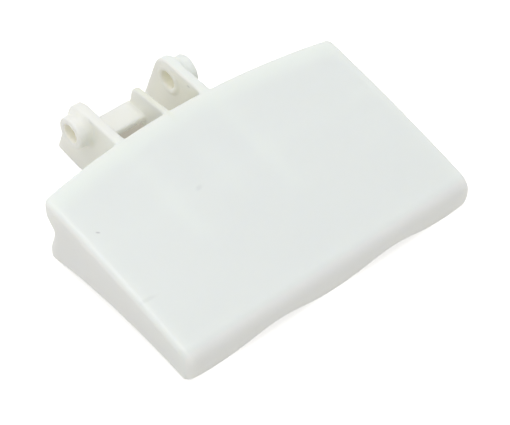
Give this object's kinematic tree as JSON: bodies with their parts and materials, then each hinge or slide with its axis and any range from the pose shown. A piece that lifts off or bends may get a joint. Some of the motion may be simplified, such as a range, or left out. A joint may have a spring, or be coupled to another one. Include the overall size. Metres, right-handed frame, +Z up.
{
  "type": "washing machine door handle",
  "caption": "Curved white grip flap of a washing machine door with two hinge lugs on hollow bosses, a web and a fin behind it.",
  "frame": {"origin": "middle of the footprint, on the table that the part lies on", "axes": "+X along the handle to the right as seen from the grip edge, +Y from the grip edge to the hinge, +Z up out of the face"},
  "size_m": [0.1106, 0.1022, 0.0271],
  "materials": {
    "white_plastic": "satin"
  },
  "bodies": {
    "root": {"door_handle": "white_plastic"}
  },
  "joints": []
}
